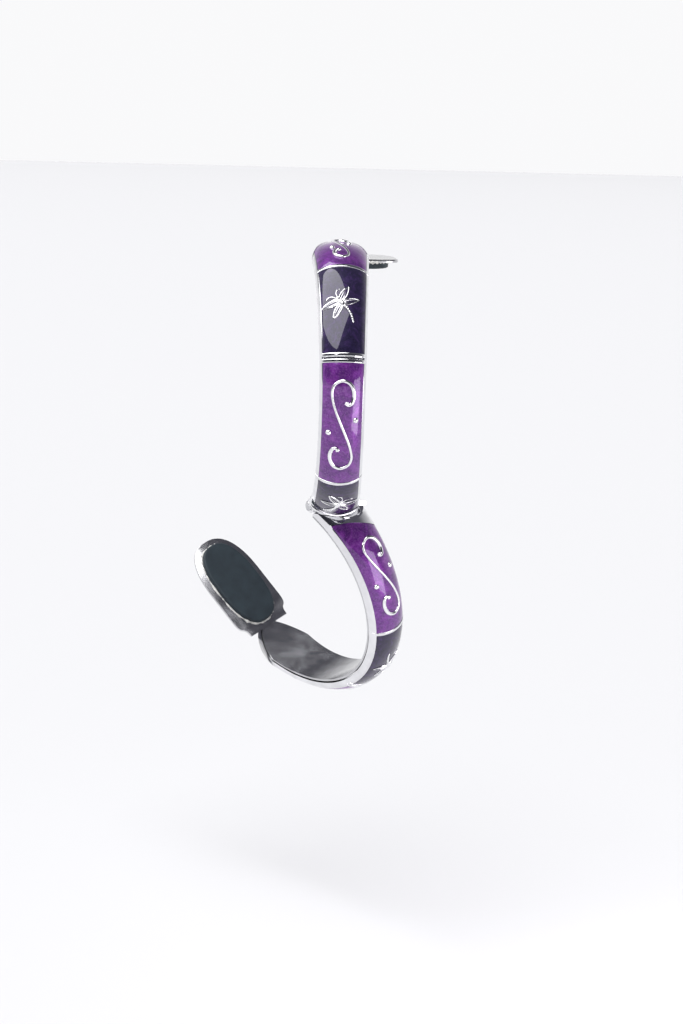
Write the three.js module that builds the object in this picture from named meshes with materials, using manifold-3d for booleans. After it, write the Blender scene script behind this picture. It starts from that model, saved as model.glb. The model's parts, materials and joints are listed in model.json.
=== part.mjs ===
// Folding bag hanger shaped as an enamelled bangle. Millimetres, +Z up.
// The origin is the middle of the rubber face that lies on the table. +Y runs in over the
// table, +X runs to the right along the table's edge, and the ring hangs below the pad.
import * as THREE from "three";
import { mergeVertices } from "three/addons/utils/BufferGeometryUtils.js";
import Module from "manifold-3d";

const wasm = await Module();
wasm.setup();

// Ring: both arms are the same half ring, measured at the rims of the dome.
const rimRadius = 32;
const hingeWidth = 13.3;
const middleWidth = 11.25;
const tipWidth = 15.7;
const domeHeight = 3.1;
const domeFullness = 0.65;
const rimWidth = 0.75;
const flankDepth = 0.95;
const armEnd = 185;
const tipLength = 13;
const tipSquareness = 1.4;

// Enamel cells, from the hinge to the tip, and the angles of the metal bands between them.
// Scrolls lie on violet cells and dragonflies on dark ones, and the two arms alternate.
const upperCells = { kinds: ["dark", "violet", "dark", "violet"], bands: [46, 102, 146] };
const lowerCells = { kinds: ["violet", "dark", "violet", "dark"], bands: [66, 110, 150] };
const cellPlaces = ["hinge", "middle", "far", "tip"];
const doubleBand = 1;
const bandWidth = 0.9;
const bandGroove = 0.5;
const bandProud = 0.12;
const recessDepth = 0.9;
const tipBorder = 0.8;
const hingeBorder = 0.8;

// Inner strip and the straight plates that carry the pads.
const stripThickness = 0.6;
const stripShare = 0.96;
const plateThickness = 0.8;
const upperPlateBend = -7;
const lowerPlateBend = 2;
const plateMargin = 2;
const plateRoot = 2;
const plateSet = 0.35;
const plateEase = 4;
const upperPlateOffset = 6.9;
const lowerPlateOffset = 0;
const padLength = 25.6;
const padWidth = 13.4;
const padSquareness = 2.5;
const padThickness = 1.3;
const padStart = -0.3;
const padEdge = 0.4;

// Hinge: the pin lies across the band at a slant, so that the lower arm swings out sideways.
// It also climbs a little from left to right, as seen from outside with the upper arm on top.
const hingeSkew = 23.9;
const hingeTilt = 3.2;
const openAngle = 130;
const barrelRadius = 1.85;
const pinRadius = 0.65;
const pinHeadRadius = 1.3;
const pinHeadThickness = 0.6;
const knuckleInset = 0.05;
const middleKnuckle = 4.6;
const legLength = 5.8;
const legTop = 0.25;
const legBottom = -0.85;

// Applied wire work.
const wireRadius = 0.45;
const dotRadius = 0.75;
const scrollShare = 0.7;
const scrollHalf = [
  [0.032, 0.255], [0.105, 0.264], [0.123, 0.355], [0.077, 0.455], [-0.018, 0.482], [-0.109, 0.409],
  [-0.105, 0.264],
];
const dotPlace = [0.148, 1.5];
const insectSpan = 9;
const insectTilt = [-30, 25, 40, -15];

// Clearances.
const gap = 0.3;
const barrelClearance = 0.35;
const stopClearance = 0.16;
const sliver = 0.01;

const knuckleReach = hingeWidth / 2 - knuckleInset;
const degrees = THREE.MathUtils.degToRad;
const arc = (angle) => rimRadius * degrees(angle);
const plateAngle = armEnd - 180 + upperPlateBend;

const silver = { color: 0xd9dade, metalness: 1, roughness: 0.12 };
const inside = { color: 0xcfd0d4, metalness: 1, roughness: 0.2 };
const violet = { color: 0x7a2a9c, metalness: 0.1, roughness: 0.12 };
const indigo = { color: 0x2b2350, metalness: 0.1, roughness: 0.12 };
const rubber = { color: 0x2c3a42, metalness: 0, roughness: 0.75 };

// ---- solids ----

function toSolid(geometry) {
  const bare = geometry.clone();
  bare.deleteAttribute("normal");
  bare.deleteAttribute("uv");
  const merged = mergeVertices(bare, 1e-4);
  return new wasm.Manifold(new wasm.Mesh({
    numProp: 3,
    vertProperties: new Float32Array(merged.attributes.position.array),
    triVerts: new Uint32Array(merged.index.array),
  }));
}

// Slivers that a cut leaves are thinner than any real feature and are closed up.
function toGeometry(solid) {
  const mesh = solid.simplify(sliver).getMesh();
  const geometry = new THREE.BufferGeometry();
  geometry.setAttribute("position", new THREE.BufferAttribute(mesh.vertProperties, 3));
  geometry.setIndex(new THREE.BufferAttribute(mesh.triVerts, 1));
  geometry.computeVertexNormals();
  return geometry;
}

function join(geometries) {
  const solids = geometries.map(toSolid);
  return toGeometry(solids.reduce((whole, piece) => whole.add(piece)));
}

function cut(geometry, tools) {
  const body = toSolid(geometry);
  return toGeometry(tools.map(toSolid).reduce((rest, tool) => rest.subtract(tool), body));
}

// ---- the bent band: x across, s along the arc from the hinge, h out from the rims ----

function halfWidth(s) {
  const t = Math.min(s / arc(180), 1.02);
  const atHinge = hingeWidth * (1 - t) * (1 - 2 * t);
  const atMiddle = 4 * middleWidth * t * (1 - t);
  return (atHinge + atMiddle + tipWidth * t * (2 * t - 1)) / 2;
}

function dome(share) {
  return domeHeight * Math.max(1 - share * share, 0) ** domeFullness;
}

// Turns (x, s, h) into the arm's frame: the hinge is at the bottom and the arm climbs on -Y.
function bend(geometry, place = (x, s, h) => [x, s, h]) {
  const points = geometry.attributes.position;
  for (let i = 0; i < points.count; i += 1) {
    const [x, s, h] = place(points.getX(i), points.getY(i), points.getZ(i));
    const angle = s / rimRadius;
    const r = rimRadius + h;
    points.setXYZ(i, x, -r * Math.sin(angle), -r * Math.cos(angle));
  }
  geometry.computeVertexNormals();
  return geometry;
}

// A section drawn as (share of the half width, height), run along the arc and bent.
function band(points, from, to) {
  const section = new THREE.Shape(points.map(([x, h]) => new THREE.Vector2(x, h)));
  const length = to - from;
  const steps = Math.max(1, Math.round(length / arc(6.5)));
  const straight = new THREE.ExtrudeGeometry(section, { depth: length, steps, bevelEnabled: false });
  straight.rotateX(Math.PI / 2);
  straight.translate(0, to, 0);
  return bend(straight, (x, s, h) => [x * halfWidth(s), s, h]);
}

function domeLine(reach, lift, count) {
  const line = [];
  for (let i = 0; i <= count; i += 1) {
    const share = reach * Math.cos((Math.PI * i) / count);
    line.push([share, dome(share) + lift]);
  }
  return line;
}

const rimShare = 1 - rimWidth / (middleWidth / 2);
const fenceShare = (1 + rimShare) / 2;
const panelShare = rimShare - gap / (middleWidth / 2);

function recessedSection() {
  const rim = [1, (1 + fenceShare) / 2, fenceShare, rimShare].map((x) => [x, dome(x)]);
  const otherRim = rim.map(([x, h]) => [-x, h]).reverse();
  const floor = domeLine(rimShare, -recessDepth, 8);
  return [[-1, -flankDepth], [1, -flankDepth], ...rim, ...floor, ...otherRim];
}

function fenceSection(lift) {
  return [[-fenceShare, -flankDepth / 2], [fenceShare, -flankDepth / 2], ...domeLine(fenceShare, lift, 10)];
}

function panelSection() {
  const top = domeLine(panelShare, 0, 10);
  const bottom = domeLine(panelShare, gap - recessDepth, 10).reverse();
  return [...bottom, ...top];
}

// ---- tools that trim the two ends of an arm ----

// Frame of the pin as seen from one arm: x away from the pin along the arm, y out, z along
// the pin. The lower arm is the upper one turned by half a turn, so it sees the tilt reversed.
function pinFrame(tilt) {
  const skew = degrees(hingeSkew);
  const flat = Math.cos(degrees(tilt));
  const line = new THREE.Vector3(Math.cos(skew) * flat, Math.sin(skew) * flat, Math.sin(degrees(tilt)));
  const away = new THREE.Vector3(Math.sin(skew), -Math.cos(skew), 0);
  const out = new THREE.Vector3().crossVectors(line, away);
  return new THREE.Matrix4().makeBasis(away, out, line).setPosition(0, 0, -rimRadius);
}

const upperPin = pinFrame(hingeTilt);
const lowerPin = pinFrame(-hingeTilt);

// Runs a section, drawn as (distance from the pin, height), along the pin.
function alongPin(pin, shape, from, to) {
  const geometry = new THREE.ExtrudeGeometry(shape, {
    depth: to - from, bevelEnabled: false, curveSegments: 12,
  });
  return geometry.translate(0, 0, from).applyMatrix4(pin);
}

function hingeTool(pin, points) {
  const shape = new THREE.Shape(points.map(([t, h]) => new THREE.Vector2(t, h)));
  return alongPin(pin, shape, -toolReach, toolReach);
}

const toolReach = 24;
const hingeBlockEnd = 30;
const bevel = degrees((180 - openAngle) / 2);
const faceStart = barrelRadius + barrelClearance;

// Clears the barrel, and slopes back outside it so that the two arms can fold outwards.
function bevelTool(pin) {
  const r = toolReach;
  const rise = (t) => t * Math.tan(bevel) - stopClearance / Math.cos(bevel);
  const face = [[faceStart, -r / 2], [faceStart, rise(faceStart)]];
  return hingeTool(pin, [[-r, -r / 2], ...face, [r, rise(r)], [r, r], [-r, r]]);
}

const bevelLength = domeHeight / Math.tan(bevel) - 0.4;

// Removes the hinge side of a line that runs along the pin, at a border past the bevel.
function nearSideTool(pin, border) {
  const t = bevelLength + border;
  const r = toolReach;
  return hingeTool(pin, [[-r, -r], [t, -r], [t, r], [-r, r]]);
}

function farSideTool(pin, border) {
  const t = bevelLength + border;
  const r = toolReach;
  return hingeTool(pin, [[t, -r], [2 * r, -r], [2 * r, r], [t, r]]);
}

// Points of an oval from angle 0 to the given end. A squareness of 2 is an ellipse; less is
// pointed, and more has flattened sides.
function oval(half, halfLength, squareness, end, count) {
  const round = (value) => Math.sign(value) * Math.abs(value) ** (2 / squareness);
  const points = [];
  for (let i = 0; i <= count; i += 1) {
    const angle = (end * i) / count;
    points.push([half * round(Math.cos(angle)), halfLength * round(Math.sin(angle))]);
  }
  return points;
}

// The pointed end of an arm, from right to left, as (x, distance beyond the arm's end).
function tipOutline(inset) {
  const half = halfWidth(arc(armEnd) - tipLength) - inset;
  const points = oval(half, tipLength - inset, tipSquareness, Math.PI, 20);
  return points.map(([x, y]) => [x, y - tipLength]);
}

// Removes what is outside the pointed end.
function tipTool(inset) {
  const r = toolReach;
  const outside = [[r, -tipLength], [r, r / 2], [-r, r / 2], [-r, -tipLength]];
  return acrossTip([...outside, ...tipOutline(inset).reverse()]);
}

// Removes what is inside the border of the pointed end.
function tipCore() {
  const outline = tipOutline(tipBorder);
  const half = outline[0][0];
  return acrossTip([[half, -2 * tipLength], ...outline, [-half, -2 * tipLength]]);
}

// Runs a plan outline through the arm's tip from inside to outside.
function acrossTip(points) {
  const shape = new THREE.Shape(points.map(([x, y]) => new THREE.Vector2(x, y)));
  const geometry = new THREE.ExtrudeGeometry(shape, { depth: toolReach, bevelEnabled: false });
  geometry.translate(0, 0, rimRadius - toolReach / 2);
  return geometry.applyMatrix4(tangentFrame(armEnd));
}

// Frame on the arc: x across, y along the arc, z out; its origin stays on the ring's axis.
function tangentFrame(angle) {
  const a = degrees(angle);
  const along = new THREE.Vector3(0, -Math.cos(a), Math.sin(a));
  const out = new THREE.Vector3(0, -Math.sin(a), -Math.cos(a));
  return new THREE.Matrix4().makeBasis(new THREE.Vector3(1, 0, 0), along, out);
}

// ---- the pieces of one arm ----

// Heights and widths of the ridges that make up one band, as offsets along the arc.
function bandRidges(index) {
  if (index !== doubleBand) {
    return [[0, bandWidth, bandProud]];
  }
  const offset = (bandWidth + bandGroove) / 2;
  const groove = [0, bandGroove + gap, -recessDepth / 2];
  return [[-offset, bandWidth, bandProud], groove, [offset, bandWidth, bandProud]];
}

function bandHalf(index) {
  return index === doubleBand ? bandWidth + bandGroove / 2 : bandWidth / 2;
}

function armShell({ pin, bands, knuckles }) {
  const body = band(recessedSection(), 0, arc(armEnd));
  const fences = bands.flatMap((angle, index) => bandRidges(index).map(([offset, width, lift]) => {
    const at = arc(angle) + offset;
    return band(fenceSection(lift), at - width / 2, at + width / 2);
  }));
  const ridge = fenceSection(bandProud);
  const tip = arc(armEnd);
  const hingeBlock = cut(band(ridge, 0, arc(hingeBlockEnd)), [farSideTool(pin, hingeBorder)]);
  const tipBlock = cut(band(ridge, tip - tipLength - tipBorder, tip), [tipCore()]);
  const whole = join([body, ...fences, hingeBlock, tipBlock]);
  return cut(whole, [bevelTool(pin), tipTool(0), ...knuckles.map((place) => legTool(pin, place))]);
}

function enamelPanel({ pin, bands }, index) {
  const section = panelSection();
  const last = bands.length;
  const from = index === 0 ? 0 : arc(bands[index - 1]) + bandHalf(index - 1) + gap;
  const to = index === last ? arc(armEnd) : arc(bands[index]) - bandHalf(index) - gap;
  const panel = band(section, from, to);
  if (index === 0) {
    return cut(panel, [nearSideTool(pin, hingeBorder + gap)]);
  }
  return index === last ? cut(panel, [tipTool(tipBorder + gap)]) : panel;
}

// Where a cell starts and ends along the arc, between its metal edges.
function cellSpan(bands, index) {
  const from = index === 0 ? bevelLength + hingeBorder : arc(bands[index - 1]);
  const to = index === bands.length ? arc(armEnd) - tipBorder : arc(bands[index]);
  return [from, to];
}

function cellMiddle(bands, index) {
  const [from, to] = cellSpan(bands, index);
  return (from + to) / 2;
}

// The plate is drawn as (x, distance beyond the arm's end) and slides under the arm's tip.
function plate({ plateOffset, plateBend }) {
  const half = padWidth / 2 + plateMargin;
  const root = halfWidth(arc(armEnd)) * stripShare - 1;
  const middle = padStart + padLength / 2;
  const [left, right] = [plateOffset - half, plateOffset + half];
  const shape = new THREE.Shape();
  shape.moveTo(-root, -plateRoot);
  shape.lineTo(root, -plateRoot);
  shape.bezierCurveTo(root, plateEase / 2, right, -plateEase / 4, right, plateEase);
  const halfLength = padLength / 2 + plateMargin;
  for (const [x, y] of oval(half, halfLength, padSquareness, Math.PI, 24)) {
    shape.lineTo(plateOffset + x, middle + y);
  }
  shape.lineTo(left, plateEase);
  shape.bezierCurveTo(left, -plateEase / 4, -root, plateEase / 2, -root, -plateRoot);
  const geometry = new THREE.ExtrudeGeometry(shape, {
    depth: plateThickness, bevelEnabled: false, curveSegments: 12,
  });
  geometry.translate(0, 0, -plateThickness);
  return geometry.applyMatrix4(plateFrame(plateBend));
}

// Frame of the plate's outer face, at the arm's end: x across, y along the plate, z out.
function plateFrame(plateBend) {
  const frame = tangentFrame(armEnd + plateBend);
  const a = degrees(armEnd);
  const r = rimRadius - flankDepth - gap - plateSet;
  frame.setPosition(0, -r * Math.sin(a), -r * Math.cos(a));
  return frame;
}

function armStrip(arm) {
  const top = -flankDepth - gap;
  const bottom = top - stripThickness;
  const section = [[-stripShare, bottom], [stripShare, bottom], [stripShare, top], [-stripShare, top]];
  const strip = band(section, 0, arc(armEnd));
  return join([cut(strip, [bevelTool(arm.pin), tipTool(gap)]), plate(arm)]);
}

function padMiddle(offset) {
  return new THREE.Vector3(offset, padStart + padLength / 2, -plateThickness - gap - padThickness);
}

function rubberPad({ plateOffset, plateBend }) {
  const middle = padMiddle(plateOffset);
  const [half, halfLength] = [padWidth / 2 - padEdge, padLength / 2 - padEdge];
  const outline = oval(half, halfLength, padSquareness, 2 * Math.PI, 44).slice(1);
  const shape = new THREE.Shape(outline.map(([x, y]) => new THREE.Vector2(x, y)));
  const geometry = new THREE.ExtrudeGeometry(shape, {
    depth: padThickness - 2 * padEdge, bevelThickness: padEdge, bevelSize: padEdge, bevelSegments: 2,
  });
  geometry.translate(middle.x, middle.y, middle.z + padEdge);
  return geometry.applyMatrix4(plateFrame(plateBend));
}

// ---- wire work, drawn as (x, along, height) about a point of the dome ----

function onDome(geometry, at) {
  return bend(geometry, (x, along, height) => {
    const s = at + along;
    return [x, s, dome(x / halfWidth(s)) + gap + height];
  });
}

function wire(points, radius, steps) {
  const circle = new THREE.Shape();
  circle.absarc(0, 0, radius, 0, 2 * Math.PI, false);
  const path = new THREE.CatmullRomCurve3(points.map(([x, y]) => new THREE.Vector3(x, y, radius)));
  return new THREE.ExtrudeGeometry(circle, {
    extrudePath: path, steps, bevelEnabled: false, curveSegments: 3,
  });
}

// An S with a curl at each end: the second half is the first turned by half a turn.
function scroll(height, at) {
  const turned = scrollHalf.map(([x, y]) => [-x, -y]).reverse();
  const points = [...scrollHalf, [0, 0], ...turned].map(([x, y]) => [x * height, y * height]);
  return onDome(wire(points, wireRadius, 36), at);
}

function dot(side, height, at) {
  const geometry = new THREE.SphereGeometry(dotRadius, 10, 6);
  geometry.scale(1, 1, 0.7);
  geometry.translate(side * dotPlace[0] * height, side * dotPlace[1], 0.7 * dotRadius);
  return onDome(geometry, at);
}

function leaf(x, y, length, width, turn) {
  const geometry = new THREE.SphereGeometry(0.5, 8, 5);
  geometry.scale(width, length, 2 * wireRadius);
  geometry.translate(0, length / 2 - 0.3, 0);
  geometry.rotateZ(turn);
  geometry.translate(x, y, wireRadius);
  return geometry;
}

// A plain dragonfly: a slim tail, a round head, two pairs of wings and two feelers.
function insect(at, tilt) {
  const unit = insectSpan / 9;
  const parts = [
    wire([[0, 1.6], [0.1, -1], [-0.2, -3.2], [-0.9, -5]], wireRadius, 8),
    leaf(0, 0.2, 3.2, 1.5, 0),
    leaf(0, 2.4, 1.6, 1.5, 0),
    leaf(0.1, 1.4, 4.4, 1.5, degrees(-68)),
    leaf(0.1, 0.6, 4.2, 1.4, degrees(-112)),
    leaf(-0.1, 1.4, 4.4, 1.5, degrees(68)),
    leaf(-0.1, 0.6, 4.2, 1.4, degrees(112)),
    wire([[0.3, 3], [1, 3.9], [2, 4.2]], wireRadius * 0.6, 5),
    wire([[-0.3, 3], [-1, 3.9], [-2, 4.2]], wireRadius * 0.6, 5),
  ];
  for (const part of parts) {
    part.scale(unit, unit, 1);
    part.rotateZ(tilt);
  }
  return onDome(join(parts), at);
}

// ---- hinge ----

function stationsAlongPin() {
  const half = knuckleReach;
  const middle = middleKnuckle / 2;
  return { left: [-half, -middle - gap], middle: [-middle, middle], right: [middle + gap, half] };
}

function knuckle(pin, place) {
  const [from, to] = stationsAlongPin()[place];
  const rise = Math.asin(legTop / barrelRadius);
  const fall = Math.asin(legBottom / barrelRadius);
  const shape = new THREE.Shape();
  shape.absarc(0, 0, barrelRadius, rise, fall + 2 * Math.PI, false);
  shape.lineTo(legLength, legBottom);
  shape.lineTo(legLength, legTop);
  const bore = new THREE.Path();
  bore.absarc(0, 0, pinRadius + gap, 0, 2 * Math.PI, true);
  shape.holes.push(bore);
  return alongPin(pin, shape, from, to);
}

// Room for a knuckle's leg in the arm's end.
function legTool(pin, place) {
  const [from, to] = stationsAlongPin()[place];
  const bottom = -toolReach / 8;
  const shape = new THREE.Shape();
  shape.moveTo(0, bottom);
  shape.lineTo(legLength + gap, bottom);
  shape.lineTo(legLength + gap, legTop + gap);
  shape.lineTo(0, legTop + gap);
  return alongPin(pin, shape, from - gap, to + gap);
}

function hingePin() {
  const shankHalf = knuckleReach + gap;
  const full = shankHalf + pinHeadThickness;
  const profile = [
    [0, -full], [pinHeadRadius * 0.7, -full], [pinHeadRadius, -full + 0.25], [pinHeadRadius, -shankHalf],
    [pinRadius, -shankHalf], [pinRadius, shankHalf], [pinHeadRadius, shankHalf],
    [pinHeadRadius, full - 0.25], [pinHeadRadius * 0.7, full], [0, full],
  ];
  const pin = new THREE.LatheGeometry(profile.map(([r, y]) => new THREE.Vector2(r, y)), 20);
  return pin.rotateX(Math.PI / 2).applyMatrix4(upperPin);
}

// ---- assembly ----

function add(group, name, geometry, finish) {
  const mesh = new THREE.Mesh(geometry, new THREE.MeshStandardMaterial(finish));
  mesh.name = name;
  group.add(mesh);
}

function addScroll(group, name, bands, index) {
  const [from, to] = cellSpan(bands, index);
  const at = (from + to) / 2;
  const height = (to - from) * scrollShare;
  add(group, `${name}_scroll`, scroll(height, at), silver);
  add(group, `${name}_dot_right`, dot(1, height, at), silver);
  add(group, `${name}_dot_left`, dot(-1, height, at), silver);
}

function addArm(group, side, padName, arm) {
  add(group, `${side}_arm_shell`, armShell(arm), silver);
  add(group, `${side}_arm_strip`, armStrip(arm), inside);
  add(group, padName, rubberPad(arm), rubber);
  arm.kinds.forEach((kind, index) => {
    const name = `${side}_${cellPlaces[index]}`;
    add(group, `${name}_${kind}_enamel`, enamelPanel(arm, index), kind === "violet" ? violet : indigo);
    if (kind === "violet") {
      addScroll(group, name, arm.bands, index);
    } else {
      const at = cellMiddle(arm.bands, index);
      add(group, `${name}_dragonfly`, insect(at, degrees(insectTilt[index])), silver);
    }
  });
}

// Moves the lower arm from its place opposite the upper one to the open stop.
function openFold() {
  const pinLine = new THREE.Vector3().setFromMatrixColumn(upperPin, 2);
  const toPin = new THREE.Matrix4().makeTranslation(0, 0, -rimRadius);
  const fold = new THREE.Matrix4().makeRotationAxis(pinLine, -degrees(openAngle));
  const back = new THREE.Matrix4().makeTranslation(0, 0, rimRadius);
  const halfTurn = new THREE.Matrix4().makeRotationZ(Math.PI);
  return toPin.multiply(fold).multiply(back).multiply(halfTurn);
}

const upperArm = new THREE.Group();
const upper = {
  ...upperCells, pin: upperPin, knuckles: ["left", "right"], plateOffset: upperPlateOffset,
  plateBend: upperPlateBend,
};
addArm(upperArm, "upper", "table_pad", upper);
add(upperArm, "upper_knuckle_left", knuckle(upperPin, "left"), silver);
add(upperArm, "upper_knuckle_right", knuckle(upperPin, "right"), silver);
add(upperArm, "hinge_pin", hingePin(), silver);

const lowerArm = new THREE.Group();
const lower = {
  ...lowerCells, pin: lowerPin, knuckles: ["middle"], plateOffset: lowerPlateOffset,
  plateBend: lowerPlateBend,
};
addArm(lowerArm, "lower", "bag_pad", lower);
add(lowerArm, "lower_knuckle", knuckle(lowerPin, "middle"), silver);
lowerArm.applyMatrix4(openFold());

const ring = new THREE.Group();
ring.add(upperArm, lowerArm);
const level = new THREE.Matrix4().makeRotationX(degrees(plateAngle));
const padFace = padMiddle(upperPlateOffset).applyMatrix4(plateFrame(upperPlateBend)).applyMatrix4(level);
ring.applyMatrix4(new THREE.Matrix4().makeTranslation(padFace.negate()).multiply(level));

const bagHanger = new THREE.Group();
bagHanger.add(ring);
export default bagHanger;
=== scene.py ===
import json
import math
import bpy
import bmesh
from mathutils import Matrix, Vector, noise


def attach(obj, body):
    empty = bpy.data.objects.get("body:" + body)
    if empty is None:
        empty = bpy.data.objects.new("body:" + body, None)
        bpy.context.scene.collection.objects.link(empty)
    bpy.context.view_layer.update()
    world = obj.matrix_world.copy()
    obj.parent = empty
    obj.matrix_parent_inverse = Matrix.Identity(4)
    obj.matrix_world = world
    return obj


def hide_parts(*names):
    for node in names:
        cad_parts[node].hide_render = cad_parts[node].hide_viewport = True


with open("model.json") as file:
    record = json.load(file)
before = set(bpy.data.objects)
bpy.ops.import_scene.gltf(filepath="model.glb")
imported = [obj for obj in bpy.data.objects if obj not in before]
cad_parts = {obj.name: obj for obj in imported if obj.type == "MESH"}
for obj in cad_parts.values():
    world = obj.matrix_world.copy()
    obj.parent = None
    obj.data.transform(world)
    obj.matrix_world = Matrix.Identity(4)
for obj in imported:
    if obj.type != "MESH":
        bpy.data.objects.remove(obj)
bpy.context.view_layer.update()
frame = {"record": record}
print("frame loaded")

mm = 0.001
hinge = frame["record"]["behaviour"]["joints"][0]
hingePoint = Vector(hinge["pos_m"])
hingeAxis = Vector(hinge["axis"])


class Field:
    # a number, colour or vector that varies over a surface
    def __init__(self, paint, socket):
        self.paint = paint
        self.socket = socket

    def maths(self, operation, first, second):
        return self.paint.node("ShaderNodeMath", {"operation": operation}, {0: first, 1: second})

    def __add__(self, other): return self.maths("ADD", self, other)
    def __radd__(self, other): return self.maths("ADD", other, self)
    def __sub__(self, other): return self.maths("SUBTRACT", self, other)
    def __rsub__(self, other): return self.maths("SUBTRACT", other, self)
    def __mul__(self, other): return self.maths("MULTIPLY", self, other)
    def __rmul__(self, other): return self.maths("MULTIPLY", other, self)


class Paint:  # nodes of a material or world go in by node(), and feed() sets or links its shader's sockets
    def __init__(self, owner, shader="Principled BSDF"):
        owner.use_nodes = True
        self.owner = owner
        self.nodes = owner.node_tree.nodes
        self.links = owner.node_tree.links
        self.shader = self.nodes[shader]

    def put(self, socket, value):
        if isinstance(value, Field):
            self.links.new(value.socket, socket)
        elif isinstance(value, (tuple, list)) and len(value) == 3 and len(socket.default_value) == 4:
            socket.default_value = (*value, 1)
        else:
            socket.default_value = value

    def node(self, kind, settings=None, inputs=None, out=0):
        node = self.nodes.new(kind)
        for key, value in (settings or {}).items():
            if key == "stops":
                for index, (place, shade) in enumerate(value):
                    stops = node.color_ramp.elements
                    stop = stops[index] if index < len(stops) else stops.new(place)
                    stop.position = place
                    stop.color = (*shade, 1)
            else:
                setattr(node, key, value)
        for key, value in (inputs or {}).items():
            self.put(node.inputs[key], value)
        return Field(self, node.outputs[out])

    def feed(self, **sockets):
        for key, value in sockets.items():
            self.put(self.shader.inputs[key.replace("_", " ")], value)

    def noise(self, scale, detail, roughness=0.5, distortion=0):  # scale is per millimetre on the object
        spot = self.node("ShaderNodeTexCoord", out=3)
        spot = self.node("ShaderNodeVectorMath", {"operation": "MULTIPLY"}, {0: spot, 1: 3 * (1 / mm,)})
        return self.node("ShaderNodeTexNoise", None, {
            "Vector": spot, "Scale": scale, "Detail": detail, "Roughness": roughness,
            "Distortion": distortion})

    def ramp(self, field, stops):
        return self.node("ShaderNodeValToRGB", {"stops": stops}, {0: field})

    def mix(self, factor, first, second):
        return self.node("ShaderNodeMix", {"data_type": "RGBA"}, {0: factor, 6: first, 7: second}, out=2)

    def bump(self, height, strength, distance):
        inputs = {"Height": height, "Strength": strength, "Distance": distance}
        return self.node("ShaderNodeBump", None, inputs)


def silverPaint(name, look):
    paint = Paint(bpy.data.materials.new(name))
    haze = paint.noise(0.35, 3)
    rub = paint.noise(6, 2, 0.6)
    tone = paint.ramp(haze, [(0.3, look["dark"]), (0.7, look["light"])])
    paint.feed(Base_Color=tone, Metallic=1.0)
    paint.feed(Roughness=look["roughness"] + haze * look["hazeShare"])
    paint.feed(Normal=paint.bump(rub, look["rub"], 0.00002))
    return paint.owner


def enamelPaint(name, look):
    paint = Paint(bpy.data.materials.new(name))
    drift = paint.noise(0.16, 3, 0.55)
    swirl = paint.noise(look["swirlScale"], 6, 0.62, look["swirl"])
    pearl = paint.noise(3.2, 5, 0.7, 1.2)
    streak = paint.ramp(swirl, look["stops"])
    deep = paint.mix(drift * look["deepShare"], streak, look["deep"])
    shine = paint.ramp(pearl, [(0.45, (0, 0, 0)), (0.75, (1, 1, 1))])
    tone = paint.mix(shine * look["pearl"], deep, look["glow"])
    paint.feed(Base_Color=tone, Metallic=look["metal"], Specular_IOR_Level=0.1)
    paint.feed(Coat_Weight=1.0, Coat_Roughness=0.02, Coat_IOR=1.52)
    paint.feed(Roughness=look["roughness"] + pearl * look["pearlRough"])
    ripple = paint.noise(0.22, 2, 0.4)
    paint.feed(Normal=paint.bump(ripple, 0.12, 0.0004))
    return paint.owner


def rubberPaint(name, look):
    paint = Paint(bpy.data.materials.new(name))
    grain = paint.noise(7, 4, 0.65)
    patch = paint.noise(0.3, 4, 0.6)
    base = paint.ramp(patch, [(0.3, look["dark"]), (0.72, look["light"])])
    specks = paint.ramp(grain, [(0.62, (0, 0, 0)), (0.8, (1, 1, 1))])
    tone = paint.mix(specks * look["dustShare"], base, look["dust"])
    paint.feed(Base_Color=tone, Specular_IOR_Level=0.4)
    paint.feed(Roughness=look["roughness"] + patch * look["patchRough"])
    paint.feed(Normal=paint.bump(grain, 0.35, 0.00006))
    return paint.owner


def gluePaint(name, look):
    paint = Paint(bpy.data.materials.new(name))
    lumps = paint.noise(2.4, 5, 0.7)
    tone = paint.ramp(lumps, [(0.35, look["dark"]), (0.7, look["light"])])
    paint.feed(Base_Color=tone, Roughness=look["roughness"] + lumps * look["lumpRough"])
    paint.feed(Normal=paint.bump(lumps, 0.6, 0.0001))
    return paint.owner


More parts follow.
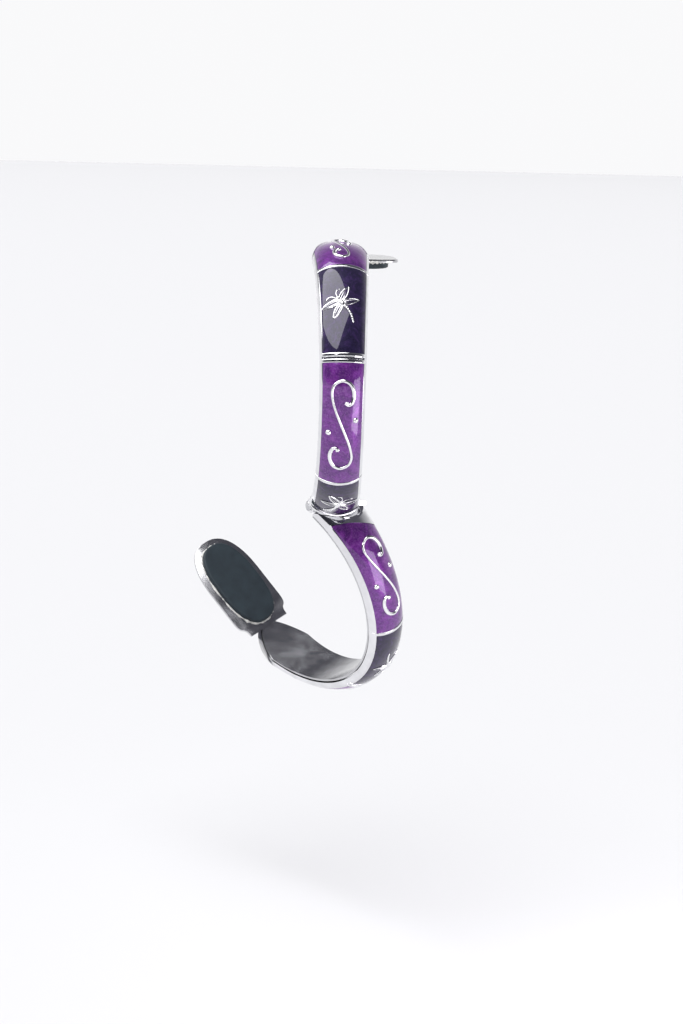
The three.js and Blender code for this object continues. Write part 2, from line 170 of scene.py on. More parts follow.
finishes = {
    "shell": silverPaint("polishedSilver", {
        "dark": (0.72, 0.72, 0.74), "light": (0.84, 0.84, 0.86),
        "roughness": 0.03, "hazeShare": 0.07, "rub": 0.05}),
    "strip": silverPaint("innerSilver", {
        "dark": (0.49, 0.49, 0.50), "light": (0.60, 0.60, 0.62),
        "roughness": 0.10, "hazeShare": 0.14, "rub": 0.12}),
    "wire": silverPaint("wireSilver", {
        "dark": (0.80, 0.80, 0.82), "light": (0.93, 0.93, 0.94),
        "roughness": 0.05, "hazeShare": 0.08, "rub": 0.06}),
    "steel": silverPaint("hingeSteel", {
        "dark": (0.50, 0.50, 0.52), "light": (0.68, 0.68, 0.70),
        "roughness": 0.16, "hazeShare": 0.2, "rub": 0.2}),
    "violet": enamelPaint("violetEnamel", {
        "stops": [(0.30, (0.050, 0.006, 0.10)), (0.46, (0.12, 0.014, 0.21)), (0.60, (0.21, 0.030, 0.32)),
                  (0.76, (0.36, 0.10, 0.46))],
        "deep": (0.06, 0.008, 0.12), "glow": (0.55, 0.26, 0.66), "pearl": 0.34, "metal": 0.4,
        "deepShare": 0.7, "pearlRough": 0.15, "roughness": 0.26, "swirlScale": 0.24, "swirl": 1.6}),
    "dark": enamelPaint("darkEnamel", {
        "stops": [(0.30, (0.006, 0.004, 0.018)), (0.50, (0.016, 0.010, 0.045)),
                  (0.64, (0.045, 0.020, 0.10)), (0.80, (0.12, 0.07, 0.22))],
        "deep": (0.008, 0.005, 0.024), "glow": (0.14, 0.10, 0.26), "pearl": 0.16, "metal": 0.2,
        "deepShare": 0.7, "pearlRough": 0.15, "roughness": 0.32, "swirlScale": 0.30, "swirl": 2.2}),
    "rubber": rubberPaint("padRubber", {
        "dark": (0.008, 0.015, 0.022), "light": (0.015, 0.027, 0.036), "dust": (0.06, 0.08, 0.09),
        "dustShare": 0.18, "roughness": 0.5, "patchRough": 0.22}),
    "glue": gluePaint("padGlue", {
        "dark": (0.42, 0.42, 0.40), "light": (0.80, 0.79, 0.76), "roughness": 0.3, "lumpRough": 0.3}),
}
print("materials made")


weldGap = 0.0004  # millimetres, as every mesh is made before it is scaled
creaseAngle = math.radians(40)


def finishMesh(name, body, finish, slot, place, bm, *nodes):
    bmesh.ops.remove_doubles(bm, verts=bm.verts, dist=weldGap)
    bmesh.ops.dissolve_degenerate(bm, edges=bm.edges, dist=weldGap)
    bmesh.ops.recalc_face_normals(bm, faces=bm.faces)
    for face in bm.faces:
        face.smooth = True
    for edge in bm.edges:
        edge.smooth = edge.calc_face_angle(0) < creaseAngle
    mesh = bpy.data.meshes.new(name)
    bm.to_mesh(mesh)
    bm.free()
    mesh.transform(place)
    if place.determinant() < 0:
        mesh.flip_normals()
    mesh.materials.append(finishes[finish])
    piece = bpy.data.objects.new(name, mesh)
    bpy.context.collection.objects.link(piece)
    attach(piece, body)
    if nodes:
        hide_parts(*nodes)


def loft(bm, loops, closed=False):  # skins a run of loops with the same count, and caps its two ends
    rows = [[bm.verts.new(point) for point in loop] for loop in loops]
    pairs = list(zip(rows, rows[1:])) + ([(rows[-1], rows[0])] if closed else [])
    for low, high in pairs:
        for i in range(len(low)):
            j = (i + 1) % len(low)
            bm.faces.new((low[i], low[j], high[j], high[i]))
    if not closed:
        bm.faces.new(rows[0][::-1])
        bm.faces.new(rows[-1])


def catmull(points, count):  # evenly stepped points on a smooth curve through the given ones
    points = [Vector(point) for point in points]
    ends = [2 * points[0] - points[1], *points, 2 * points[-1] - points[-2]]
    curve = []
    for step in range(count + 1):
        along = step / count * (len(points) - 1)
        i = min(int(along), len(points) - 2)
        t = along - i
        a, b, c, d = ends[i:i + 4]
        curve.append(0.5 * (2 * b + (c - a) * t + (2 * a - 5 * b + 4 * c - d) * t ** 2
                            + (3 * b - a - 3 * c + d) * t ** 3))
    return curve


# in millimetres and degrees; on the bent arm x runs across, s along the arc from the hinge
# and h out from the rims
arm = {
    "rimRadius": 32.0, "hingeWidth": 13.3, "middleWidth": 11.25, "tipWidth": 15.7,
    "domeHeight": 3.1, "domeFullness": 0.65, "rimWidth": 0.75, "flankDepth": 0.95,
    "armEnd": 185.0, "tipLength": 13.0, "tipSquareness": 1.4, "tipBorder": 0.8, "tipDrop": 0.25,
    "hingeBorder": 0.8, "hingeSkew": 23.9, "hingeTilt": 3.2, "bevelAngle": 25.0, "bevelLength": 6.248,
    "endFace": 2.2, "stopGap": 0.16, "recess": 0.55, "proud": 0.12, "bandWidth": 0.9, "bandGroove": 0.5,
    "levelTilt": -2.0, "openAngle": 130.0, "cellRows": 34, "tipRows": 26, "bevelRows": 10,
}
radius = arm["rimRadius"]
bevel = math.radians(arm["bevelAngle"])
skew = math.radians(arm["hingeSkew"])


def arc(angle):
    return radius * math.radians(angle)


tipEnd = arc(arm["armEnd"])


def halfWidth(s):
    t = min(s / arc(180), 1.02)
    low = arm["hingeWidth"] * (1 - t) * (1 - 2 * t)
    middle = 4 * arm["middleWidth"] * t * (1 - t)
    return (low + middle + arm["tipWidth"] * t * (2 * t - 1)) / 2


def domeAt(share, s):  # the dome sinks a little towards the rounded tip
    late = max(0, (s - tipEnd + arm["tipLength"]) / arm["tipLength"])
    low = 1 - arm["tipDrop"] * min(late, 1) ** 2
    return low * arm["domeHeight"] * max(1 - share * share, 0) ** arm["domeFullness"]


def armPoint(x, s, h):
    angle, r = s / radius, radius + h
    return Vector((x, -r * math.sin(angle), -r * math.cos(angle)))


def hingeLine(t):  # the line across the band at a distance t from the pin
    def line(share):
        x = share * arm["hingeWidth"] / 2
        return radius * math.asin((t - x * math.sin(skew)) / (radius * math.cos(skew)))
    return line


def tipLine(back):  # the pointed outline of the tip, moved back
    length, power = arm["tipLength"], arm["tipSquareness"]

    def line(share):
        return tipEnd - length - back + length * max(1 - abs(share) ** power, 0) ** (1 / power)
    return line


def straightLine(s):
    return lambda share: s


def between(low, high, part):
    return lambda share: low(share) + (high(share) - low(share)) * part


def bevelPoint(x, t):  # a point of the sloped end face, which lets the arms fold outwards
    across = (t - x * math.sin(skew)) / math.cos(skew)
    up = radius + t * math.tan(bevel) - arm["stopGap"] / math.cos(bevel)
    return radius * math.atan2(across, up), math.hypot(across, up) - radius


def crestAt(share):  # where the sloped face runs out through the dome
    x = share * arm["hingeWidth"] / 2
    low, high = arm["endFace"], arm["bevelLength"] + 0.6
    for _ in range(24):
        t = (low + high) / 2
        s, h = bevelPoint(x, t)
        if h < domeAt(share, s) + arm["proud"]:
            low = t
        else:
            high = t
    return low


# each pair is a distance in from an edge and how much of the ridge is left there
rimSteps = [(0, 1), (0.05, 1), (0.14, 1), (0.28, 1), (0.45, 1), (0.62, 1), (0.70, 0.93), (0.74, 0.75),
            (0.75, 0)]
ridgeSteps = [(0, 0), (0.01, 0.7), (0.05, 0.88), (0.13, 0.98), (0.25, 1)]
tipSteps = [(0.79, 0.7), (0.74, 0.88), (0.66, 0.98), (0.5, 1), (0.3, 1), (0.12, 0.97), (0.03, 0.8),
            (0, 0.5)]
crestSteps = [0.03, 0.15, 0.4, 0.7, 0.9, 0.97]
flankSteps = [(-1, -0.12), (-1, -0.8), (-0.99, -0.93)]  # share of the half width, height
floorSteps = 20


def shellColumns():  # (side, distance in from the rim or None, share of the floor, how much of the ridge)
    right = [(1, d, 0, m) for d, m in rimSteps]
    floor = [(0, None, 1 - 2 * i / floorSteps, 0) for i in range(1, floorSteps)]
    left = [(-1, d, 0, m) for d, m in rimSteps][::-1]
    return right + floor + left


def shareOf(column, s):
    side, distance, part, _ = column
    half = halfWidth(s)
    return side * (1 - distance / half) if side else part * (1 - arm["rimWidth"] / half)


def underside(line):  # flank and bottom of one loop, from the left rim round to the right
    points = []
    bottom = [(0.97 * (i / 12 - 1), -arm["flankDepth"]) for i in range(25)]
    for share, h in (*flankSteps, *bottom, *[(-share, h) for share, h in flankSteps[::-1]]):
        s = line(share)
        points.append(armPoint(share * halfWidth(s), s, h))
    return points


def shellLoop(line, ridge):
    loop = []
    for column in shellColumns():
        s = line(shareOf(column, line(0)))
        share = shareOf(column, s)
        raised = max(ridge, column[3])
        h = domeAt(share, s) - arm["recess"] * (1 - raised) + arm["proud"] * ridge
        loop.append(armPoint(share * halfWidth(s), s, h))
    return loop + underside(line)


def bevelLoop(part):
    loop = []
    half = arm["hingeWidth"] / 2
    for column in shellColumns():
        share = shareOf(column, 0)
        crest = crestAt(share)
        t = arm["endFace"] + (crest - arm["endFace"]) * part
        s, h = bevelPoint(share * half, t)
        if crest < arm["endFace"] + 0.01:
            s, h = hingeLine(t)(share), domeAt(share, 0)
        loop.append(armPoint(share * half, s, min(h, domeAt(share, s) + arm["proud"])))
    return loop + underside(hingeLine(arm["endFace"] + 0.02 * part))


def crestLoop(part):
    border = arm["bevelLength"] + arm["hingeBorder"]

    def line(share):
        start = max(crestAt(share), arm["endFace"])
        return hingeLine(start + (border - start) * part)(share)
    return shellLoop(line, 1)


def bandRidges(angle, double):  # (arc, ridge) rows of one band, from the hinge side to the tip side
    width, groove = arm["bandWidth"], arm["bandGroove"]
    if not double:
        starts = [arc(angle) - width / 2]
    else:
        starts = [arc(angle) - groove / 2 - width, arc(angle) + groove / 2]
    rows = []
    for start in starts:
        rows += [(start + d, m) for d, m in ridgeSteps]
        rows += [(start + width - d, m) for d, m in ridgeSteps[::-1]]
    return rows


def cellLines(bands, double, index):  # the two edges of an enamel cell
    reach = arm["bandWidth"] + arm["bandGroove"] / 2
    edge = [reach if i == double else arm["bandWidth"] / 2 for i in range(len(bands))]
    if index == 0:
        low = hingeLine(arm["bevelLength"] + arm["hingeBorder"])
    else:
        low = straightLine(arc(bands[index - 1]) + edge[index - 1])
    if index == len(bands):
        return low, tipLine(arm["tipBorder"])
    return low, straightLine(arc(bands[index]) - edge[index])


def makeShell(side, bands, double, place):
    loops = [bevelLoop(i / arm["bevelRows"]) for i in range(arm["bevelRows"] + 1)]
    loops += [crestLoop(part) for part in crestSteps]
    for index in range(len(bands) + 1):
        low, high = cellLines(bands, double, index)
        count = arm["cellRows"] if index < len(bands) else arm["tipRows"]
        loops += [shellLoop(between(low, high, i / count), 0) for i in range(count + 1)]
        if index < len(bands):
            ridges = bandRidges(bands[index], index == double)
            loops += [shellLoop(straightLine(s), ridge) for s, ridge in ridges]
    loops += [shellLoop(tipLine(back), ridge) for back, ridge in tipSteps]
    bm = bmesh.new()
    loft(bm, loops)
    finishMesh(f"{side}ArmShell", f"{side}_arm", "shell", "polished_silver", place, bm, f"{side}_arm_shell")


enamel = {"across": 36, "along": 44, "level": 0.03, "edgeSink": 0.09, "depth": 0.5, "bite": 0.03}


def makeEnamel(side, where, kind, lines, place):
    low, high = lines
    loops = []
    for row in range(enamel["along"] + 1):
        part = 0.5 - 0.5 * math.cos(math.pi * row / enamel["along"])
        line = between(low, high, part)
        top, bottom = [], []
        for column in range(enamel["across"] + 1):
            across = math.sin(math.pi / 2 * (1 - 2 * column / enamel["across"]))
            s = line(across * (1 - arm["rimWidth"] / halfWidth(line(0))))
            half = halfWidth(s)
            share = across * (1 - (arm["rimWidth"] - enamel["bite"]) / half)
            edge = max(abs(across), abs(2 * part - 1)) ** 14
            h = domeAt(share, s) + enamel["level"] - enamel["edgeSink"] * edge
            top.append(armPoint(share * half, s, h))
            bottom.append(armPoint(share * half, s, domeAt(share, s) - enamel["depth"]))
        loops.append(top + bottom[::-1])
    bm = bmesh.new()
    loft(bm, loops)
    name = f"{side}{where.capitalize()}{kind.capitalize()}Enamel"
    finishMesh(name, f"{side}_arm", kind, f"{kind}_enamel", place, bm, f"{side}_{where}_{kind}_enamel")


wire = {"sides": 12, "sink": 0.35, "flatten": 0.9, "beadRings": 8, "beadSides": 16, "beadSink": 0.08}


def onDome(x, s):  # a point of the enamel's face and the unit vectors across, along and out
    def face(x, s):
        return armPoint(x, s, domeAt(x / halfWidth(s), s) + enamel["level"])
    step = 0.02
    across = (face(x + step, s) - face(x - step, s)).normalized()
    along = (face(x, s + step) - face(x, s - step)).normalized()
    return face(x, s), across, along, across.cross(along).normalized()


# a rounded wire partly sunk in the enamel, through points (x, along) about the arc length at
def wireLoops(points, thickness, at, sink=wire["sink"], sides=wire["sides"]):
    loops = []
    last = len(points) - 1
    for i, point in enumerate(points):
        ahead, behind = points[min(i + 1, last)], points[max(i - 1, 0)]
        heading = (ahead - behind).normalized()
        size = thickness(i / last)
        spot, across, along, out = onDome(point.x, at + point.y)
        beside = (across * heading.y - along * heading.x).normalized()
        flat = wire["flatten"]
        centre = spot + out * size * (1 - 2 * sink) * flat
        loops.append([centre + size * (beside * math.cos(a) + out * flat * math.sin(a))
                      for a in (2 * math.pi * k / sides for k in range(sides))])
    return loops


def bead(bm, x, along, at, across, length, height, turn=0):  # a domed oval drop
    loops = []
    rings, sides = wire["beadRings"], wire["beadSides"]
    for ring in range(rings + 1):
        lift = math.pi / 2 * ring / rings
        size = max(math.cos(lift), 0.02)
        loop = []
        for k in range(sides):
            a = 2 * math.pi * k / sides
            u, v = across * size * math.cos(a), length * size * math.sin(a)
            px = x + u * math.cos(turn) - v * math.sin(turn)
            pv = along + u * math.sin(turn) + v * math.cos(turn)
            spot, _, _, out = onDome(px, at + pv)
            loop.append(spot + out * (height * math.sin(lift) - wire["beadSink"]))
        loops.append(loop)
    loft(bm, loops)


scroll = {
    "half": [(0.65, 5.95), (1.2, 5.15), (2.15, 5.5), (2.65, 7.4), (1.9, 9.6), (0, 10.5), (-1.9, 9.7),
             (-2.6, 8.1), (-2.35, 6.0), (-1.55, 3.5)],
    "height": 22.0, "share": 0.70, "thin": 0.33, "thick": 0.52, "curlAt": 0.16, "curlSpread": 0.11,
    "drop": 0.20, "dropAt": 0.02, "closing": 0.012, "steps": 150,
    "dot": 0.66, "dotHeight": 0.62, "dotAcross": 3.255, "dotAlong": 1.5,
}


def scrollWire(share):  # thin through the stem, thick round the curls, with a drop at each end
    fromEnd = min(share, 1 - share)
    curl = math.exp(-((fromEnd - scroll["curlAt"]) / scroll["curlSpread"]) ** 2)
    body = scroll["thin"] + (scroll["thick"] - scroll["thin"]) * curl
    drop = scroll["drop"] * math.exp(-((fromEnd - scroll["dropAt"]) / scroll["dropAt"]) ** 2)
    closing = math.sqrt(min(1, fromEnd / scroll["closing"] + 0.002))
    return (body + drop) * closing


def makeScroll(side, where, span, place):
    low, high = span
    at = (low + high) / 2
    unit = (high - low) * scroll["share"] / scroll["height"]
    half = scroll["half"]
    points = [*half, (0, 0), *[(-x, -y) for x, y in half[::-1]]]
    curve = catmull([(x * unit, y * unit, 0) for x, y in points], scroll["steps"])
    bm = bmesh.new()
    loft(bm, wireLoops(curve, scrollWire, at))
    name = f"{side}{where.capitalize()}Scroll"
    finishMesh(name, f"{side}_arm", "wire", "wire_silver", place, bm, f"{side}_{where}_scroll")
    for sign, hand in ((1, "right"), (-1, "left")):
        bm = bmesh.new()
        x, along = sign * scroll["dotAcross"] * unit, sign * scroll["dotAlong"]
        bead(bm, x, along, at, scroll["dot"], scroll["dot"], scroll["dotHeight"])
        node = f"{side}_{where}_dot_{hand}"
        finishMesh(f"{name}Dot{hand.capitalize()}", f"{side}_arm", "wire", "wire_silver", place, bm, node)


dragonfly = {
    "tail": [(0, -0.2), (0.1, -1.3), (-0.1, -2.6), (-0.5, -3.8), (-1.0, -4.7)],
    "tailThick": 0.36, "tailThin": 0.20, "tailRings": 8, "tailRingDepth": 0.16,
    "wings": [(0.15, 1.4, 4.3, 1.55, -68), (0.15, 0.6, 4.1, 1.4, -112), (-0.15, 1.4, 4.3, 1.55, 68),
              (-0.15, 0.6, 4.1, 1.4, 112)],  # root across and along, length, width, turn
    "edge": 0.15, "vein": 0.10, "veinsAt": (-0.4, 0.4),
    "body": [(0, 0.7, 0.62, 1.15, 0.72), (0, 2.2, 0.55, 0.5, 0.6), (0.36, 2.5, 0.26, 0.26, 0.62),
             (-0.36, 2.5, 0.26, 0.26, 0.62)],  # thorax, head and eyes: across, along, half sizes, height
    "feeler": [(0.25, 2.6), (0.6, 3.5), (1.4, 4.1), (2.2, 3.9)], "feelerThick": 0.13,
}


def dragonflyTail(share):  # ringed, thinner to the back and rounded off
    thick, thin, depth = dragonfly["tailThick"], dragonfly["tailThin"], dragonfly["tailRingDepth"]
    rings = 1 - depth + depth * abs(math.sin(dragonfly["tailRings"] * math.pi * share))
    return (thick + (thin - thick) * share) * rings * math.sqrt(min(1, (1 - share) * 18 + 0.03))


def dragonflyFeeler(share):
    return dragonfly["feelerThick"] * math.sqrt(min(1, (1 - share) * 14 + 0.05))


def wingPoint(wing, along, across):  # along 0 to 1 from the body, across -1 to 1
    x, y, length, width, turn = wing
    a = math.radians(turn + 90)
    reach = length * along
    swell = width / 2 * math.sin(math.pi * along ** 0.75) ** 0.7 if 0 < along < 1 else 0
    return Vector((x + reach * math.cos(a) - across * swell * math.sin(a),
                   y + reach * math.sin(a) + across * swell * math.cos(a), 0))


def addWing(bm, wing, at):
    rim = [wingPoint(wing, 0.01 + 0.98 * i / 24, 1) for i in range(25)]
    rim += [wingPoint(wing, 0.99 - 0.98 * i / 24, -1) for i in range(25)]
    loft(bm, wireLoops(rim, lambda share: dragonfly["edge"], at, sink=0.15, sides=8))
    for across in dragonfly["veinsAt"]:
        vein = [wingPoint(wing, 0.05 + 0.85 * i / 12, across) for i in range(13)]
        loft(bm, wireLoops(vein, lambda share: dragonfly["vein"] * (1.05 - share), at, sink=0.0, sides=6))


def makeDragonfly(side, where, span, tilt, place):
    at = (span[0] + span[1]) / 2
    turn = math.radians(tilt)
    spin = Matrix.Rotation(turn, 3, "Z")

    def turned(points):
        return [spin @ Vector((*point, 0)) for point in points]

    bm = bmesh.new()
    for x, y, length, width, angle in dragonfly["wings"]:
        root = spin @ Vector((x, y, 0))
        addWing(bm, (root.x, root.y, length, width, angle + tilt), at)
    loft(bm, wireLoops(catmull(turned(dragonfly["tail"]), 60), dragonflyTail, at, sink=0.2))
    for x, y, across, length, height in dragonfly["body"]:
        spot = spin @ Vector((x, y, 0))
        bead(bm, spot.x, spot.y, at, across, length, height, turn)
    for sign in (1, -1):
        feeler = catmull(turned([(sign * x, y) for x, y in dragonfly["feeler"]]), 24)
        loft(bm, wireLoops(feeler, dragonflyFeeler, at, sides=8))
    name = f"{side}{where.capitalize()}Dragonfly"
    finishMesh(name, f"{side}_arm", "wire", "wire_silver", place, bm, f"{side}_{where}_dragonfly")


pad = {
    "length": 25.6, "width": 13.4, "thickness": 1.3, "start": -0.3, "margin": 2.0, "gap": 0.3, "edge": 0.5,
    "squareness": 2.5, "plateThickness": 0.8, "plateSet": 0.35, "root": 2.0, "ease": 4.0,
    "strip": 0.6, "stripShare": 0.96, "stripRows": 100, "rounding": 0.16, "innerRings": (1.2, 3.2),
    "steps": 120,
}
glue = {"thickness": 0.26, "waves": 6, "waveShare": 1.3, "grains": 22, "grainShare": 1.2, "thinnest": 0.05,
        "spread": 1.3, "steps": 180, "sides": 10}


def plateMatrix(plateBend):  # x across, y along the plate, z out, from the arm's end
    end = math.radians(arm["armEnd"])
    a = math.radians(arm["armEnd"] + plateBend)
    r = radius - arm["flankDepth"] - pad["gap"] - pad["plateSet"]
    along = Vector((0, -math.cos(a), math.sin(a)))
    out = Vector((0, -math.sin(a), -math.cos(a)))
    turn = Matrix((Vector((1, 0, 0)), along, out)).transposed().to_4x4()
    return Matrix.Translation(Vector((0, -r * math.sin(end), -r * math.cos(end)))) @ turn


def bezier(a, b, c, d, count):
    points = []
    for i in range(count + 1):
        t = i / count
        weights = ((1 - t) ** 3, 3 * t * (1 - t) ** 2, 3 * t * t * (1 - t), t ** 3)
        points.append(sum((w * Vector(p) for w, p in zip(weights, (a, b, c, d))), Vector((0, 0))))
    return points


def oval(half, length, a):  # a point of an oval with flattened sides
    x, y = math.cos(a), math.sin(a)
    power = 2 / pad["squareness"]
    return Vector((half * math.copysign(abs(x) ** power, x), length * math.copysign(abs(y) ** power, y)))


def padMiddle(offset):
    return Vector((offset, pad["start"] + pad["length"] / 2))


def plateOutline(offset, inset):
    half = pad["width"] / 2 + pad["margin"] - inset
    root = halfWidth(tipEnd) * pad["stripShare"] - 1 - inset
    ease, back = pad["ease"], -pad["root"] + inset
    right = bezier((root, back), (root, ease / 2), (offset + half, -ease / 4), (offset + half, ease), 14)
    length = pad["length"] / 2 + pad["margin"] - inset
    end = [padMiddle(offset) + oval(half, length, math.pi * i / 48) for i in range(49)]
    left = bezier((offset - half, ease), (offset - half, -ease / 4), (-root, ease / 2), (-root, back), 14)
    return right + end + left


def makeStrip(side, offset, plateBend, place):
    bm = bmesh.new()
    top = -arm["flankDepth"] - pad["gap"]
    bottom = top - pad["strip"]
    share = pad["stripShare"]
    across = [(share - 0.015) * (i / 14 - 1) for i in range(29)]
    section = [(share, top - 0.1), *[(part, top) for part in across[::-1]], (-share, top - 0.1)]
    section += [(-share, bottom + 0.12), *[(part, bottom) for part in across], (share, bottom + 0.12)]
    loops = []
    for row in range(pad["stripRows"] + 1):
        line = between(hingeLine(arm["endFace"]), tipLine(0.3), row / pad["stripRows"])
        loop = []
        for part, h in section:
            s = line(part)
            loop.append(armPoint(part * halfWidth(s), s, h))
        loops.append(loop)
    loft(bm, loops)
    thick, edge = pad["plateThickness"], pad["rounding"]
    above = [(edge, 0), (0.05, -0.05), (0, -edge)]
    layers = above + [(inset, -thick - z) for inset, z in above[::-1]]
    matrix = plateMatrix(plateBend)
    loft(bm, [[matrix @ Vector((*point, z)) for point in plateOutline(offset, inset)]
              for inset, z in layers])
    finishMesh(f"{side}ArmStrip", f"{side}_arm", "strip", "inner_silver", place, bm, f"{side}_arm_strip")


def ovalLoop(half, length, middle, z):
    turns = (2 * math.pi * i / pad["steps"] for i in range(pad["steps"]))
    return [Vector((*(middle + oval(half, length, a)), z)) for a in turns]


def makePad(side, node, offset, plateBend, place):
    bm = bmesh.new()
    top = -pad["plateThickness"] + 0.02
    bottom = -pad["plateThickness"] - pad["gap"] - pad["thickness"]
    half, length, edge = pad["width"] / 2, pad["length"] / 2, pad["edge"]
    layers = [(0, top), (0, bottom + edge)]
    layers += [(edge * (1 - math.cos(a)), bottom + edge * (1 - math.sin(a)))
               for a in (math.pi / 2 * i / 7 for i in range(1, 8))]
    layers += [(inset, bottom) for inset in pad["innerRings"]]
    loops = [ovalLoop(half - inset, length - inset, padMiddle(offset), z) for inset, z in layers]
    matrix = plateMatrix(plateBend)
    loft(bm, [[matrix @ point for point in loop] for loop in loops])
    finishMesh(f"{side}Pad", f"{side}_arm", "rubber", "pad_rubber", place, bm, node)


def makeGlue(side, offset, plateBend, place):  # a rough line of glue round the pad's foot
    loops = []
    matrix = plateMatrix(plateBend)
    for i in range(glue["steps"]):
        a = 2 * math.pi * i / glue["steps"]
        outward = Vector((math.cos(a), math.sin(a), 0))
        wobble = noise.noise(glue["waves"] * outward + Vector((0, 0, offset)))
        grain = noise.noise(glue["grains"] * outward + Vector((0, 0, 3 + offset)))
        rough = 0.9 + glue["waveShare"] * wobble + glue["grainShare"] * grain
        size = max(glue["thickness"] * rough, glue["thinnest"])
        edge = padMiddle(offset) + oval(pad["width"] / 2, pad["length"] / 2, a)
        spot = Vector((*edge, -pad["plateThickness"]))
        turns = (2 * math.pi * k / glue["sides"] for k in range(glue["sides"]))
        loops.append([matrix @ (spot + size * (outward * math.cos(b) * glue["spread"]
                                               + Vector((0, 0, math.sin(b))))) for b in turns])
    bm = bmesh.new()
    loft(bm, loops, closed=True)
    finishMesh(f"{side}PadGlue", f"{side}_arm", "glue", "pad_rubber", place, bm)


barrel = {
    "radius": 1.85, "bore": 0.95, "span": 13.2, "middle": 4.6, "gap": 0.3, "chamfer": 0.22,
    "leg": 5.8, "legTop": 0.25, "legBottom": -0.85, "legEdge": 0.12, "legOverlap": 0.25,
    "pin": 0.65, "head": 1.3, "headThickness": 0.6, "headEdge": 0.08, "headRim": 0.2,
}


def pinMatrix(tilt):  # x away from the pin along the arm, y out, z along the pin
    flat = math.cos(math.radians(tilt))
    line = Vector((math.cos(skew) * flat, math.sin(skew) * flat, math.sin(math.radians(tilt))))
    away = Vector((math.sin(skew), -math.cos(skew), 0))
    turn = Matrix((away, line.cross(away), line)).transposed().to_4x4()
    return Matrix.Translation(Vector((0, 0, -radius))) @ turn


def ring(r, z, matrix, sides=56):
    return [matrix @ Vector((r * math.cos(a), r * math.sin(a), z))
            for a in (2 * math.pi * k / sides for k in range(sides))]


def makeKnuckle(name, side, node, low, high, place):
    matrix = pinMatrix(arm["hingeTilt"] if side == "upper" else -arm["hingeTilt"])
    r, c, bore = barrel["radius"], barrel["chamfer"], barrel["bore"]
    profile = [(bore, low), (r - c, low), (r - c * 0.3, low + c * 0.3), (r, low + c), (r, high - c),
               (r - c * 0.3, high - c * 0.3), (r - c, high), (bore, high)]
    bm = bmesh.new()
    loft(bm, [ring(size, z, matrix) for size, z in profile], closed=True)
    top, bottom = barrel["legTop"], barrel["legBottom"]
    inner, outer = math.sqrt(r * r - bottom * bottom) - barrel["legOverlap"], barrel["leg"]
    loops = []
    edge = barrel["legEdge"]
    for z, inset in ((low, edge), (low + edge, 0), (high - edge, 0), (high, edge)):
        corners = ((inner, bottom + inset), (outer - inset, bottom + inset), (outer - inset, top - inset),
                   (inner, top - inset))
        loops.append([matrix @ Vector((x, y, z)) for x, y in corners])
    loft(bm, loops)
    finishMesh(name, f"{side}_arm", "shell", "polished_silver", place, bm, node)


def makePin(place):
    matrix = pinMatrix(arm["hingeTilt"])
    shank = barrel["span"] / 2 + barrel["gap"]
    head, thick, edge, rim = (barrel[key] for key in ("head", "headThickness", "headEdge", "headRim"))
    half = [(barrel["pin"], 0), (barrel["pin"], shank), (head - edge, shank), (head, shank + edge)]
    half += [(head * math.cos(a), shank + rim + (thick - rim) * math.sin(a))
             for a in (math.pi / 2 * i / 8 for i in range(9))]
    half[-1] = (0.03, shank + thick)
    profile = [(r, -z) for r, z in half[:0:-1]] + half[1:]
    bm = bmesh.new()
    loft(bm, [ring(r, z, matrix) for r, z in profile])
    finishMesh("hingePin", "upper_arm", "steel", "hinge_steel", place, bm, "hinge_pin")


arms = {
    "upper": {"kinds": ["dark", "violet", "dark", "violet"], "bands": [46, 102, 146], "offset": 6.9,
              "plateBend": -7.0, "pad": "table_pad"},
    "lower": {"kinds": ["violet", "dark", "violet", "dark"], "bands": [66, 110, 150], "offset": 0.0,
              "plateBend": 2.0, "pad": "bag_pad"},
}
placesAlong = ["hinge", "middle", "far", "tip"]
dragonflyTilts = [-30, 25, 40, -15]
doubleBand = 1  # the middle band is a pair

level = Matrix.Translation(hingePoint) @ Matrix.Rotation(math.radians(arm["levelTilt"]), 4, "X")
toRing = Matrix.Scale(mm, 4) @ Matrix.Translation((0, 0, radius))
fold = Matrix.Translation(hingePoint) @ Matrix.Rotation(-math.radians(arm["openAngle"]), 4, hingeAxis)
fold = fold @ Matrix.Translation(-hingePoint)
placing = {
    "upper": level @ toRing,
    "lower": fold @ level @ toRing @ Matrix.Rotation(math.pi, 4, "Z"),
}


def cellSpan(bands, index):
    low = arm["bevelLength"] + arm["hingeBorder"] if index == 0 else arc(bands[index - 1])
    high = tipEnd - arm["tipBorder"] if index == len(bands) else arc(bands[index])
    return low, high


for side, plan in arms.items():
    place = placing[side]
    bands = plan["bands"]
    makeShell(side, bands, doubleBand, place)
    makeStrip(side, plan["offset"], plan["plateBend"], place)
    makePad(side, plan["pad"], plan["offset"], plan["plateBend"], place)
    makeGlue(side, plan["offset"], plan["plateBend"], place)
    for index, kind in enumerate(plan["kinds"]):
        where = placesAlong[index]
        makeEnamel(side, where, kind, cellLines(bands, doubleBand, index), place)
        if kind == "violet":
            makeScroll(side, where, cellSpan(bands, index), place)
        else:
            makeDragonfly(side, where, cellSpan(bands, index), dragonflyTilts[index], place)
    print(f"{side} arm made")

inner, outer = barrel["middle"] / 2, barrel["span"] / 2
near = inner + barrel["gap"]
makeKnuckle("upperKnuckleLeft", "upper", "upper_knuckle_left", -outer, -near, placing["upper"])
makeKnuckle("upperKnuckleRight", "upper", "upper_knuckle_right", near, outer, placing["upper"])
makeKnuckle("lowerKnuckle", "lower", "lower_knuckle", -inner, inner, placing["lower"])
makePin(placing["upper"])
print("hinge made")


floorLook = {"size": 14, "height": -0.17, "tone": (0.63, 0.63, 0.64), "roughness": 0.9}


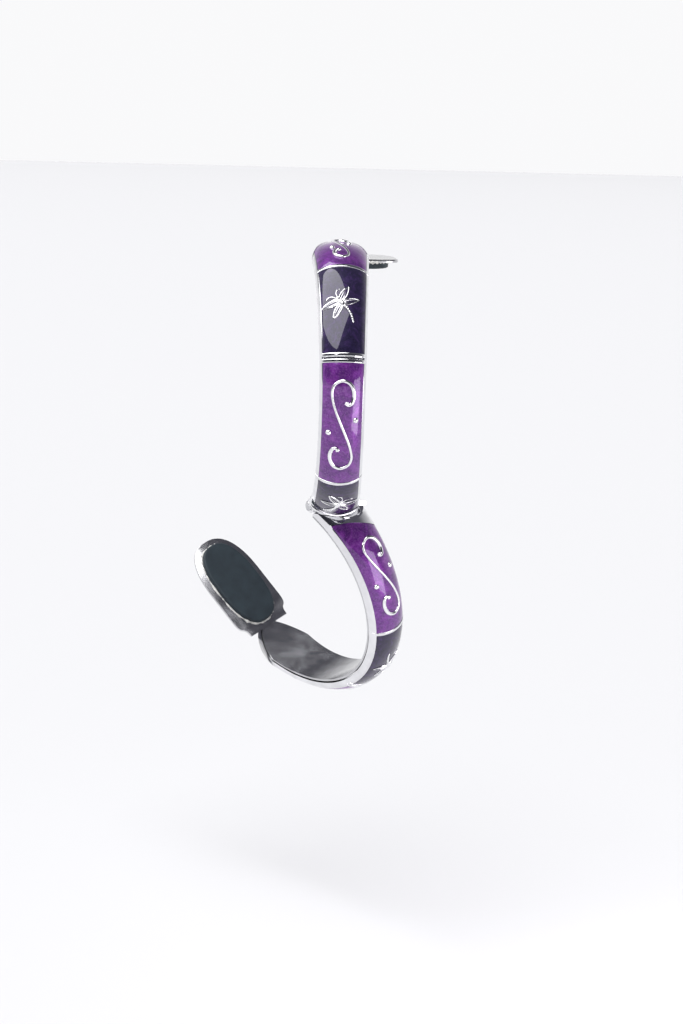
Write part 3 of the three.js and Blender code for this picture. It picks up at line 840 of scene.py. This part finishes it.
def makeFloor():
    mesh = bpy.data.meshes.new("floor")
    size, height = floorLook["size"], floorLook["height"]
    corners = [(-size, -size, height), (size, -size, height), (size, size, height), (-size, size, height)]
    mesh.from_pydata(corners, [], [(0, 1, 2, 3)])
    paint = Paint(bpy.data.materials.new("paleFloor"))
    paint.feed(Base_Color=floorLook["tone"], Roughness=floorLook["roughness"], Specular_IOR_Level=0.1)
    mesh.materials.append(paint.owner)
    floor = bpy.data.objects.new("floor", mesh)
    bpy.context.collection.objects.link(floor)


lights = {  # spots are from the hinge
    "window": {"spot": (-50, -30, 100), "size": (182, 148), "power": 330000, "tint": (1, 1, 1)},
    "cardRight": {"spot": (0.15, -0.12, -0.02), "size": (0.10, 0.13), "power": 0.16, "tint": (1, 0.95, 1)},
}


def makeLight(name, spot, size, power, tint):
    data = bpy.data.lights.new(name, "AREA")
    data.shape = "RECTANGLE"
    data.size, data.size_y = size
    data.energy = power
    data.color = tint
    lamp = bpy.data.objects.new(name, data)
    lamp.location = hingePoint + Vector(spot)
    lamp.visible_camera = False
    lamp.rotation_mode = "QUATERNION"
    lamp.rotation_quaternion = (-Vector(spot)).to_track_quat("-Z", "Y")
    bpy.context.collection.objects.link(lamp)


camera = {"fromHinge": (-0.03368, -0.63172, 0.09384), "turn": (81.372, -1.396, -3.042), "lens": 87.89,
          "sensor": 36, "clip": (0.01, 100)}


def makeCamera():
    data = bpy.data.cameras.new("camera")
    data.lens = camera["lens"]
    data.sensor_width = camera["sensor"]
    data.clip_start, data.clip_end = camera["clip"]
    eye = bpy.data.objects.new("camera", data)
    eye.location = hingePoint + Vector(camera["fromHinge"])
    eye.rotation_euler = [math.radians(angle) for angle in camera["turn"]]
    bpy.context.collection.objects.link(eye)
    bpy.context.scene.camera = eye


studio = {
    "back": [(0.12, (0.03, 0.03, 0.04)), (0.40, (0.14, 0.14, 0.16)), (0.56, (0.95, 0.95, 0.96))],
    "up": [(0.25, (1, 1, 1)), (0.70, (0, 0, 0))],
    "overhead": (0.10, 0.10, 0.12), "power": 1.0,
}


def makeWorld(look):  # bright low down behind the object, dim overhead and where the camera stands
    paint = Paint(bpy.data.worlds.new("studio"), "Background")
    spot = paint.node("ShaderNodeTexCoord")
    back = paint.node("ShaderNodeSeparateXYZ", None, {0: spot}, out=1) * 0.5 + 0.5
    up = paint.node("ShaderNodeSeparateXYZ", None, {0: spot}, out=2)
    shade = paint.mix(paint.ramp(up, look["up"]), look["overhead"], paint.ramp(back, look["back"]))
    paint.feed(Color=shade, Strength=look["power"])
    bpy.context.scene.world = paint.owner


makeFloor()
makeWorld(studio)
for name, look in lights.items():
    makeLight(name, **look)
bpy.context.scene.view_settings.view_transform = "Standard"
makeCamera()
print("stage made")
